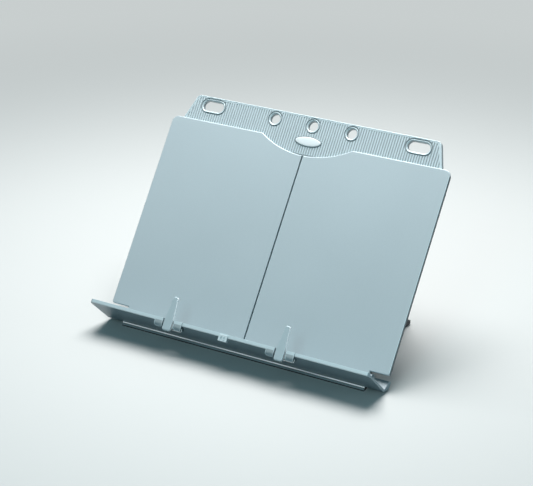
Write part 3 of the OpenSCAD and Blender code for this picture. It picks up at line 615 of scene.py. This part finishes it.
# %% Helpers for Geometry Nodes
def geometry_tree(name, inputs):
    """A tree that takes and gives geometry and has more named inputs; returns it with its two ends."""
    tree = bpy.data.node_groups.new(name, "GeometryNodeTree")
    tree.interface.new_socket(name="Geometry", in_out="INPUT", socket_type="NodeSocketGeometry")
    for label, kind in inputs:
        tree.interface.new_socket(name=label, in_out="INPUT", socket_type=kind)
    tree.interface.new_socket(name="Geometry", in_out="OUTPUT", socket_type="NodeSocketGeometry")
    return tree, tree.nodes.new("NodeGroupInput"), tree.nodes.new("NodeGroupOutput")


def close_tree(tree, source, source_socket, tree_in, tree_out):
    """Ends a tree: smooth faces, real geometry, one material."""
    smooth = tree.nodes.new("GeometryNodeSetShadeSmooth")
    real = tree.nodes.new("GeometryNodeRealizeInstances")
    painted = tree.nodes.new("GeometryNodeSetMaterial")
    wire(tree, source, source_socket, smooth, "Geometry")
    wire(tree, smooth, "Geometry", real, "Geometry")
    wire(tree, real, "Geometry", painted, "Geometry")
    wire(tree, tree_in, "Material", painted, "Material")
    wire(tree, painted, "Geometry", tree_out, "Geometry")


def grown(name, mesh, tree, values):
    """Runs a tree on a mesh and keeps the result as a plain mesh with its faces outwards."""
    obj = mesh_object(name, mesh, [])
    modifier = obj.modifiers.new(tree.name, "NODES")
    modifier.node_group = tree
    for item in tree.interface.items_tree:
        if item.in_out == "INPUT" and item.name in values:
            modifier[item.identifier] = values[item.name]
    applied(obj)
    work = bmesh.new()
    work.from_mesh(obj.data)
    bmesh.ops.remove_doubles(work, verts=work.verts, dist=0.000001)
    bmesh.ops.recalc_face_normals(work, faces=work.faces)
    work.to_mesh(obj.data)
    work.free()
    obj.data.set_sharp_from_angle(angle=math.radians(50))
    print(name, "faces:", len(obj.data.polygons))
    return obj


# %% The tree that sweeps a tube
tube, tube_in, tube_out = geometry_tree(
    "Tube along a path",
    [("Radius", "NodeSocketFloat"), ("Sides", "NodeSocketInt"), ("Material", "NodeSocketMaterial")])
route = tube.nodes.new("GeometryNodeMeshToCurve")
section = tube.nodes.new("GeometryNodeCurvePrimitiveCircle")
sweep = tube.nodes.new("GeometryNodeCurveToMesh")
sweep.inputs["Fill Caps"].default_value = True
wire(tube, tube_in, "Geometry", route, "Mesh")
wire(tube, tube_in, "Sides", section, "Resolution")
wire(tube, tube_in, "Radius", section, "Radius")
wire(tube, route, "Curve", sweep, "Curve")
wire(tube, section, "Curve", sweep, "Profile Curve")
close_tree(tube, sweep, "Mesh", tube_in, tube_out)


def path_mesh(name, paths):
    """Edges along several paths; each is a list of panel points and whether it closes on itself."""
    points, edges = [], []
    for path, closed in paths:
        start, count = len(points), len(path)
        points += [ON_PANEL @ Vector(p) for p in path]
        edges += [(start + i, start + (i + 1) % count) for i in range(count if closed else count - 1)]
    mesh = bpy.data.meshes.new(name)
    mesh.from_pydata(points, edges, [])
    return mesh


def filleted(corners, radius, steps=10):
    """An open path with a round at each inner corner."""
    points = [corners[0]]
    for before, corner, after in zip(corners, corners[1:], corners[2:]):
        a, b, c = Vector(before), Vector(corner), Vector(after)
        one, two = (a - b).normalized(), (c - b).normalized()
        half_angle = one.angle(two) / 2
        middle = b + (one + two).normalized() * radius / math.sin(half_angle)
        first = b + one * radius / math.tan(half_angle) - middle
        last = b + two * radius / math.tan(half_angle) - middle
        sweep_angle = first.angle_signed(last)
        points += [tuple(middle + Matrix.Rotation(-sweep_angle * k / steps, 2) @ first) for k in range(steps + 1)]
    return points + [corners[-1]]


# %% [markdown]
# ## Lips, border bead and foot strip
# On the real header the holes are framed by raised collars with a rounded lip, and a bead runs round its
# border. Their tops face the lamp, so they show as bright rings and lines against the ribs. Along the
# foot runs a polished strip, one more plate with a rolled edge, and a fine dark line round the badge is painted
# shadow.

# %% Lips and border bead
HEADER_TOP_WIDTH, HEADER_BASE_WIDTH = 335.0, 357.0
HEADER_CORNER = 6.0
LIP_RADIUS, LIP_INSET, LIP_DEPTH = 0.4, 0.25, LEAF_THICKNESS + 0.15
BEAD_RADIUS, BEAD_INSET, BEAD_DEPTH = 0.55, 0.6, LEAF_THICKNESS + 0.2
BEAD_TUCK = 2.0
lip_reach = HOLE_DIAMETER / 2 + COLLAR_WALL - LIP_INSET
straight = (SLOT_LENGTH - HOLE_DIAMETER) / 2

lips = []
for i in (-1, 0, 1):
    ring = arc((i * HOLE_GAP, hole_height), lip_reach, 0, 360, 56)[:-1]
    lips.append(([(x, LIP_DEPTH, z) for x, z in ring], True))
for side in (-1, 1):
    ring = arc((side * SLOT_MIDDLE + straight, hole_height), lip_reach, -90, 90, 28)
    ring += arc((side * SLOT_MIDDLE - straight, hole_height), lip_reach, 90, 270, 28)
    lips.append(([(x, LIP_DEPTH, z) for x, z in ring], True))
hole_lips = grown("hole_lips", path_mesh("hole_lips", lips), tube,
                  {"Radius": LIP_RADIUS * MM, "Sides": 14, "Material": lip_lacquer})
place_piece(hole_lips, "panel")

slope = (HEADER_BASE_WIDTH - HEADER_TOP_WIDTH) / 2 / HEADER_HEIGHT
bead_top = HEADER_TOP - BEAD_INSET
bead_half = HEADER_TOP_WIDTH / 2 - BEAD_INSET
bead_base = bead_half + slope * (HEADER_HEIGHT + BEAD_TUCK)
border = filleted([(-bead_base, PANEL_TOP - BEAD_TUCK), (-bead_half, bead_top), (bead_half, bead_top),
                   (bead_base, PANEL_TOP - BEAD_TUCK)], HEADER_CORNER - BEAD_INSET)
border_line = [(x, BEAD_DEPTH, z) for x, z in border]
border_bead = grown("border_bead", path_mesh("border_bead", [(border_line, False)]), tube,
                    {"Radius": BEAD_RADIUS * MM, "Sides": 12, "Material": lip_lacquer})
place_piece(border_bead, "panel")

# %% Bright strip along the foot
STRIP_LOW, STRIP_HIGH = 3.9, 5.5
STRIP_BACK, STRIP_FRONT, STRIP_ROLL = 0.2, -0.95, 0.4
tongue_half = PANEL_WIDTH / 2 - NOTCH_WIDTH
strip_outline = [(-tongue_half, STRIP_LOW), (tongue_half, STRIP_LOW),
                 (tongue_half, STRIP_HIGH), (-tongue_half, STRIP_HIGH)]
strip_plate = rolled_plate("foot_strip", strip_outline, STRIP_BACK, STRIP_FRONT, [STRIP_ROLL] * 4)
foot_strip = mesh_object("foot_strip", strip_plate, [bead_steel])
even_shading(foot_strip)
place_piece(foot_strip, "panel")

# %% Painted shadow line round the badge
BADGE_LENGTH, BADGE_HEIGHT, BADGE_LIFT = 35.0, 12.0, 0.5
SHADOW_LINE_RADIUS, SHADOW_LINE_WIDER, SHADOW_LINE_HIGHER = 0.55, 0.21, 0.24
oval = [((BADGE_LENGTH / 2 + SHADOW_LINE_WIDER) * x, LEAF_THICKNESS + 0.1,
         PANEL_TOP + BADGE_LIFT + (BADGE_HEIGHT / 2 + SHADOW_LINE_HIGHER) * z)
        for x, z in arc((0, 0), 1, 0, 360, 72)[:-1]]
badge_bed = grown("badge_bed", path_mesh("badge_bed", [(oval, True)]), tube,
                  {"Radius": SHADOW_LINE_RADIUS * MM, "Sides": 10, "Material": shade_lacquer})
place_piece(badge_bed, "panel")

# %% [markdown]
# ## The clips' springs
# Each clip snaps shut by a torsion spring on its pin. The wire starts in a pocket of the right boss,
# winds towards the clip, drops, and runs under the boss to a short hook at its end. It is one path.

# %% Spring wire
CLIP_X, CLIP_WIDTH, CLIP_GAP, CLIP_THICKNESS = 76.4, 11.0, 2.3, 2.8
BOSS_WIDTH, BOSS_RADIUS, BOSS_DROP = 10.8, 4.7, 1.6
LEDGE_DEPTH, LEDGE_HEEL, LIP_HEIGHT = 50.0, 5.7, 4.4
LEDGE_TIP = math.radians(8.4)
CLIP_PIN_RADIUS, WIRE, POCKET, HOOK_RISE = 1.2, 0.7, 1.6, 4.0
MOVE_GAP, SEAT_GAP, RUN_FIT = 0.4, 0.1, 0.06
clip_depth = -LEDGE_DEPTH + BOSS_RADIUS - CLIP_THICKNESS / 3
clip_height = LEDGE_HEEL + LEDGE_DEPTH * math.tan(LEDGE_TIP) + LIP_HEIGHT - BOSS_RADIUS - BOSS_DROP


def spring_path(turns=2.25, steps=24):
    """The wire's middle line from its pocket to its hook, about the clip's hinge line."""
    coil = CLIP_PIN_RADIUS + RUN_FIT + WIRE / 2 + SEAT_GAP
    near = CLIP_WIDTH / 2 + MOVE_GAP + WIRE / 2
    travel = CLIP_GAP + POCKET - WIRE - MOVE_GAP - SEAT_GAP
    under = -(BOSS_RADIUS + WIRE / 2 + SEAT_GAP)
    hook = CLIP_WIDTH / 2 + CLIP_GAP + BOSS_WIDTH + WIRE / 2 + SEAT_GAP
    points = []
    for i in range(int(turns * steps) + 1):
        left = 1 - i / (turns * steps)
        angle = math.pi - 2 * math.pi * turns * left
        points.append((near + travel * left, coil * math.cos(angle), coil * math.sin(angle)))
    leg = filleted([(near, under), (hook, under), (hook, under + HOOK_RISE)], WIRE * 1.4, 6)
    points.append((near, -coil, under + 2 * WIRE))
    bend = filleted([(near, under + 2 * WIRE), (near, under), (near + 3 * WIRE, under)], WIRE, 5)
    points += [(x, -coil, z) for x, z in bend[1:-1] + leg[1:]]
    return points


for side, name in ((-1, "left_clip_spring"), (1, "right_clip_spring")):
    wire_points = [(side * CLIP_X + x, clip_depth + y, clip_height + z) for x, y, z in spring_path()]
    spring = grown(name + "_wire", path_mesh(name + "_wire", [(wire_points, False)]), tube,
                   {"Radius": WIRE / 2 * MM, "Sides": 12, "Material": drawn_steel})
    place_piece(spring, "ledge", [name])

# %% [markdown]
# ## Painted highlights on the bosses
# Each boss beside a clip is round in front and has rounded lower corners, and a light line along its edge is a
# painted highlight.
# The line is drawn flat, as seen from the front. Then every point of it is moved onto the round of the
# boss, and the tube sweeps along it.

# %% Painted highlight on each boss's edge
LINE_RADIUS, LINE_INSET, LINE_CORNER, LINE_RISE = 0.4, 0.35, 2.4, 1.2


def boss_edge(near, far, pieces=8):
    """A line down a boss's inner side, along its underside and up its outer side."""
    low, high = clip_height - BOSS_RADIUS + 0.25, clip_height + BOSS_DROP + LINE_RISE
    front_view = filleted([(near, high), (near, low), (far, low), (far, high)], LINE_CORNER, 8)
    places = []
    for first, second in zip(front_view, front_view[1:]):
        step = [(second[axis] - first[axis]) / pieces for axis in (0, 1)]
        places += [(first[0] + step[0] * k, first[1] + step[1] * k) for k in range(pieces)]
    places.append(front_view[-1])
    return [(x, clip_depth - math.sqrt(max(0.0, BOSS_RADIUS ** 2 - min(z - clip_height, 0.0) ** 2)), z)
            for x, z in places]


inner = CLIP_WIDTH / 2 + CLIP_GAP + LINE_INSET
outer = CLIP_WIDTH / 2 + CLIP_GAP + BOSS_WIDTH - LINE_INSET
boss_lines = [([(side * CLIP_X + turn * x, y, z) for x, y, z in boss_edge(inner, outer)], False)
              for side in (-1, 1) for turn in (-1, 1)]
# Lip colour on the darker boss: a painted highlight.
boss_beads = grown("boss_beads", path_mesh("boss_beads", boss_lines), tube,
                   {"Radius": LINE_RADIUS * MM, "Sides": 10, "Material": lip_lacquer})
place_piece(boss_beads, "ledge")

# %% [markdown]
# ## The clips' fingers
# A real finger is a petal: a rounded thumb tab below, a wide waist at the hinge, and sides that swell a
# little on their way to a round tip. Its width is one rule of the height, so the skin is built as rows of
# points, with the sides in a painted highlight. It covers the plain finger of the solid below it, and its
# thumb tab ends a hair short of the solid's, so that nothing stands out past the real part.

# %% Width of a finger by its height
CLIP_RISE, CLIP_DROP, TIP_WIDTH = 34.0, 7.9, 6.2
SKIN, TAB_ROUND, EDGE_ROUND = 0.06, 3.2, 0.7
TAB_CUT = 0.14


def finger_half_width(height):
    """Half the finger's width at a height above its hinge line."""
    shoulder, tip_round = 3.5, TIP_WIDTH / 2
    low, high = -CLIP_DROP, CLIP_RISE
    share = min(max((height - shoulder) / (high - tip_round - shoulder), 0.0), 1.0)
    half = CLIP_WIDTH / 2 + (TIP_WIDTH - CLIP_WIDTH) / 2 * share ** 1.15
    if height < low + TAB_ROUND:
        sink = (low + TAB_ROUND - height) / TAB_ROUND
        half -= TAB_ROUND * (1 - math.sqrt(max(0.0, 1 - sink * sink)))
    if height > high - tip_round:
        rise = (height - (high - tip_round)) / tip_round
        half *= math.sqrt(max(0.0, 1 - rise * rise))
    return half + SKIN


def finger_section(half, front, back, corner_steps=4):
    """Round-edged cross-section, as x and depth pairs; front and back are depths."""
    radius = min(EDGE_ROUND, half * 0.6, (back - front) * 0.45)
    points = []
    for x, y, start in ((half - radius, back - radius, 0), (-half + radius, back - radius, 90),
                        (-half + radius, front + radius, 180), (half - radius, front + radius, 270)):
        points += arc((x, y), radius, start, start + 90, corner_steps)
    return points


# %% Skin over each finger
def finger_mesh(name, side):
    """A closed skin along the finger, row by row, with closer rows at its round ends."""
    low, high = -CLIP_DROP + TAB_CUT, CLIP_RISE + SKIN
    heights = [low + TAB_ROUND * (1 - math.cos(math.pi / 2 * k / 8)) for k in range(1, 9)]
    top = high - TIP_WIDTH / 2
    heights += [heights[-1] + (top - heights[-1]) * k / 26 for k in range(1, 27)]
    heights += [top + (high - top) * math.sin(math.pi / 2 * k / 8) for k in range(1, 8)]
    front = -(BOSS_RADIUS + CLIP_THICKNESS / 6) - SKIN
    back = front + CLIP_THICKNESS + 2 * SKIN
    work = bmesh.new()
    rows = []
    for height in heights:
        pinch = max(0.0, (height - (high - CLIP_THICKNESS / 2)) / (CLIP_THICKNESS / 2))
        pinch = max(pinch, (low + CLIP_THICKNESS / 2 - height) / (CLIP_THICKNESS / 2))
        shrink = CLIP_THICKNESS / 2 * (1 - math.sqrt(max(0.04, 1 - pinch * pinch)))
        section_points = finger_section(max(finger_half_width(height), 0.5), front + shrink, back - shrink * 0.4)
        rows.append([work.verts.new(ON_PANEL @ Vector((side * CLIP_X + x, clip_depth + y, clip_height + height)))
                     for x, y in section_points])
    for low_row, high_row in zip(rows, rows[1:]):
        for k in range(len(low_row)):
            j = (k + 1) % len(low_row)
            work.faces.new((low_row[k], low_row[j], high_row[j], high_row[k]))
    work.faces.new(rows[0])
    work.faces.new(rows[-1])
    bmesh.ops.remove_doubles(work, verts=work.verts, dist=0.000002)
    bmesh.ops.recalc_face_normals(work, faces=work.faces)
    for face in work.faces:
        # Side faces take the second material, a painted highlight.
        face.material_index = 1 if abs(face.normal.x) > 0.7 else 0
    mesh = bpy.data.meshes.new(name)
    work.to_mesh(mesh)
    work.free()
    return mesh


for side, name in ((-1, "left_clip"), (1, "right_clip")):
    finger = mesh_object(name + "_finger", finger_mesh(name + "_finger", side), [clip_lacquer, clip_highlight_lacquer])
    even_shading(finger, sharp=45)
    place_piece(finger, name)
    print(finger.name, "faces:", len(finger.data.polygons))

# %% [markdown]
# ## Screws
# Ten pan-head screws hold the rear shell and the two hinge brackets. One screw is turned from a profile,
# with a cross sunk in its dome, and a Geometry Nodes tree sets it down on every mark.

# %% One screw
SCREW_RADIUS, HEAD_RADIUS, HEAD_HEIGHT = 1.25, 2.8, 1.4
CROSS_HALF_WIDTH, CROSS_REACH, CROSS_DEPTH = 0.42, 1.7, 0.9


def head_height(radius, angle):
    """Height of the dome at a place, with the cross recess sunk in it."""
    dome = HEAD_HEIGHT * (0.55 + 0.45 * math.sqrt(max(0.0, 1 - (radius / HEAD_RADIUS) ** 2)))
    x, z = abs(radius * math.cos(angle)), abs(radius * math.sin(angle))
    inside = min(max(CROSS_HALF_WIDTH - min(x, z), 0.0) / 0.18, 1.0)
    inside *= min(max(CROSS_REACH - max(x, z), 0.0) / 0.25, 1.0)
    return dome - CROSS_DEPTH * inside


def screw_mesh(shank, spokes=64):
    """A screw whose head sits on the origin and points to the panel's back."""
    profile = [(SCREW_RADIUS, -shank), (SCREW_RADIUS, 0.0), (HEAD_RADIUS, 0.0), (HEAD_RADIUS, 0.55 * HEAD_HEIGHT)]
    crown = [2.6, 2.3, 2.0, 1.8, 1.7, 1.58, 1.45, 1.2, 0.9, 0.65, 0.5, 0.4, 0.3, 0.2]
    work = bmesh.new()
    rings = []
    for radius, height in profile + [(radius, None) for radius in crown]:
        ring = []
        for k in range(spokes):
            angle = 2 * math.pi * k / spokes
            level = head_height(radius, angle) if height is None else height
            ring.append(work.verts.new(Vector((radius * math.cos(angle), level, radius * math.sin(angle)))))
        rings.append(ring)
    for low_ring, high_ring in zip(rings, rings[1:]):
        for k in range(spokes):
            j = (k + 1) % spokes
            work.faces.new((low_ring[k], low_ring[j], high_ring[j], high_ring[k]))
    work.faces.new(rings[0])
    work.faces.new(rings[-1])
    bmesh.ops.recalc_face_normals(work, faces=work.faces)
    mesh = bpy.data.meshes.new("screw")
    work.to_mesh(mesh)
    work.free()
    mesh.transform(ON_PANEL.to_3x3().to_4x4())
    return mesh


# %% The tree that sets screws on marks
marks, marks_in, marks_out = geometry_tree(
    "Screws on marks", [("Screw", "NodeSocketObject"), ("Material", "NodeSocketMaterial")])
sample = marks.nodes.new("GeometryNodeObjectInfo")
copies = marks.nodes.new("GeometryNodeInstanceOnPoints")
wire(marks, marks_in, "Screw", sample, "Object")
wire(marks, marks_in, "Geometry", copies, "Points")
wire(marks, sample, "Geometry", copies, "Instance")
close_tree(marks, copies, "Instances", marks_in, marks_out)

PLATE_THICKNESS, SHELL_THICKNESS = 2.4, 3.2
SHELL_BACK = LEAF_THICKNESS + PLATE_THICKNESS + SHELL_THICKNESS
KNUCKLE_WIDTH, BRACKET_THICKNESS, BRACKET_LUG = 18.0, 2.8, 9.0
LEG_TOP_WIDTH, ARM_WIDTH, LEG_HINGE_HEIGHT = 226.0, 24.0, 196.0
knuckle_x = (LEG_TOP_WIDTH - ARM_WIDTH) / 2
lug_reach = KNUCKLE_WIDTH / 2 + BRACKET_THICKNESS + MOVE_GAP + BRACKET_LUG / 2
shell_marks = [(share_x * PANEL_WIDTH, SHELL_BACK, share_s * PANEL_TOP)
               for share_x in (-0.42, 0, 0.42) for share_s in (0.16, 0.9)]
bracket_back = SHELL_BACK + BRACKET_THICKNESS + 2 * SEAT_GAP
bracket_marks = [(side * knuckle_x + turn * lug_reach, bracket_back, LEG_HINGE_HEIGHT)
                 for side in (-1, 1) for turn in (-1, 1)]
for name, places, shank in (("shell_screws", shell_marks, 4.6), ("bracket_screws", bracket_marks, 6.0)):
    sample_screw = mesh_object("sample_screw", screw_mesh(shank), [])
    screws = grown(name + "_set", path_mesh(name + "_set", [([place], False) for place in places]), marks,
                   {"Screw": sample_screw, "Material": drawn_steel})
    bpy.data.objects.remove(sample_screw)
    place_piece(screws, "panel", [name])

# %% [markdown]
# ## Floor, light and camera
# A plain pale floor and large soft lamps, as in a product studio. The main lamp is high and behind the
# stand, so every edge that faces up is bright and the shadow falls forwards. It is nearly a metre wide,
# which lets the shadow fade from the foot rail outwards. Two dim ones and a dim sky fill the rest.
#
# The backdrop should look pale without lighting the stand. So the floor and the sky ask what kind of ray
# meets them: the camera's, and those that come off metal or through glass, find a pale surface, and all
# the others find a darker one. Far away the floor fades into the backdrop, and no horizon shows.

# %% Floor
PALE = (0.58, 0.62, 0.62, 1)
FLOOR_SEEN, FLOOR_BOUNCE = (0.49, 0.5, 0.493, 1), (0.17, 0.20, 0.21, 1)
FLOOR_HALF, FADE_START, FADE_END = 6.0, 0.5, 1.5


def seen_rays(tree):
    """A factor of 1 on the rays that show a background: camera, mirror and glass rays."""
    path = tree.nodes.new("ShaderNodeLightPath")
    mirror = math_node(tree, "MAXIMUM", (path, "Is Glossy Ray"), (path, "Is Transmission Ray"))
    return math_node(tree, "MAXIMUM", (path, "Is Camera Ray"), (mirror, 0))


floor_mesh = bpy.data.meshes.new("floor")
floor_corners = [(x * FLOOR_HALF, y * FLOOR_HALF, 0) for x, y in ((-1, -1), (1, -1), (1, 1), (-1, 1))]
floor_mesh.from_pydata(floor_corners, [], [(0, 1, 2, 3)])
floor_paint = bpy.data.materials.new("Pale floor")
floor_paint.use_nodes = True
floor_tree = floor_paint.node_tree
floor_shader = floor_tree.nodes["Principled BSDF"]
floor_shader.inputs["Roughness"].default_value = 0.75
seen = seen_rays(floor_tree)
floor_colour = floor_tree.nodes.new("ShaderNodeMix")
floor_colour.data_type = "RGBA"
floor_colour.inputs[6].default_value = FLOOR_BOUNCE
floor_colour.inputs[7].default_value = FLOOR_SEEN
wire(floor_tree, seen, 0, floor_colour, 0)
wire(floor_tree, floor_colour, 2, floor_shader, "Base Color")
floor_place = floor_tree.nodes.new("ShaderNodeTexCoord")
reach = floor_tree.nodes.new("ShaderNodeVectorMath")
reach.operation = "LENGTH"
wire(floor_tree, floor_place, "Object", reach, 0)
fade = floor_tree.nodes.new("ShaderNodeMapRange")
fade.interpolation_type = "SMOOTHSTEP"
fade.inputs["From Min"].default_value = FADE_START
fade.inputs["From Max"].default_value = FADE_END
wire(floor_tree, reach, "Value", fade, "Value")
far_and_seen = math_node(floor_tree, "MULTIPLY", (fade, "Result"), (seen, 0))
far_floor = floor_tree.nodes.new("ShaderNodeEmission")
far_floor.inputs["Color"].default_value = PALE
blend = floor_tree.nodes.new("ShaderNodeMixShader")
wire(floor_tree, far_and_seen, 0, blend, 0)
wire(floor_tree, floor_shader, 0, blend, 1)
wire(floor_tree, far_floor, 0, blend, 2)
wire(floor_tree, blend, 0, floor_tree.nodes["Material Output"], "Surface")
floor = mesh_object("studio_floor", floor_mesh, [floor_paint])


# %% Lamps
def lamp(name, place_m, target, size, watts, colour):
    """A square soft box that faces a target."""
    data = bpy.data.lights.new(name, "AREA")
    data.size = size
    data.energy = watts
    data.color = colour
    obj = bpy.data.objects.new(name, data)
    bpy.context.scene.collection.objects.link(obj)
    direction = Vector(target) - Vector(place_m)
    obj.matrix_world = Matrix.Translation(place_m) @ direction.to_track_quat("-Z", "Y").to_matrix().to_4x4()
    return obj


lamp("top_light", (-0.15, 0.385, 1.25), (0, 0.08, 0.1), 0.95, 34, (1.0, 0.99, 0.985))
lamp("front_light", (0.3, -1.5, 1.15), (0, 0.0, 0.05), 0.5, 5.5, (0.60, 0.93, 1.0))
lamp("side_light", (1.5, 0.35, 0.30), (0, 0.05, 0.1), 0.4, 3, (0.8, 0.95, 1.0))

# %% World
world = bpy.data.worlds.new("Studio")
bpy.context.scene.world = world
world.use_nodes = True
sky = world.node_tree.nodes["Background"]
sky.inputs["Color"].default_value = (0.28, 0.88, 1.1, 1)
sky.inputs["Strength"].default_value = 0.14
backdrop = world.node_tree.nodes.new("ShaderNodeBackground")
backdrop.inputs["Color"].default_value = PALE
choice = world.node_tree.nodes.new("ShaderNodeMixShader")
wire(world.node_tree, seen_rays(world.node_tree), 0, choice, 0)
wire(world.node_tree, sky, 0, choice, 1)
wire(world.node_tree, backdrop, 0, choice, 2)
wire(world.node_tree, choice, 0, world.node_tree.nodes["World Output"], "Surface")

# %% [markdown]
# ## Camera
# The lens, the place and the three directions of the camera were worked out from the photograph's
# straight edges and round holes, so that the picture can be laid over it.

# %% Camera at the photograph's viewpoint
camera_data = bpy.data.cameras.new("Camera")
camera_data.lens = 120.12
camera_data.sensor_width = 36.0
camera = bpy.data.objects.new("Camera", camera_data)
bpy.context.scene.collection.objects.link(camera)
right = Vector((0.85899, 0.51198, 0))
up = Vector((-0.20300, 0.34058, 0.91804))
back = Vector((0.47002, -0.78858, 0.39649))
camera.matrix_world = Matrix((
    (right.x, up.x, back.x, 0.9897),
    (right.y, up.y, back.y, -1.5988),
    (right.z, up.z, back.z, 0.9579),
    (0, 0, 0, 1)))
bpy.context.scene.camera = camera
bpy.context.scene.view_settings.view_transform = "Standard"
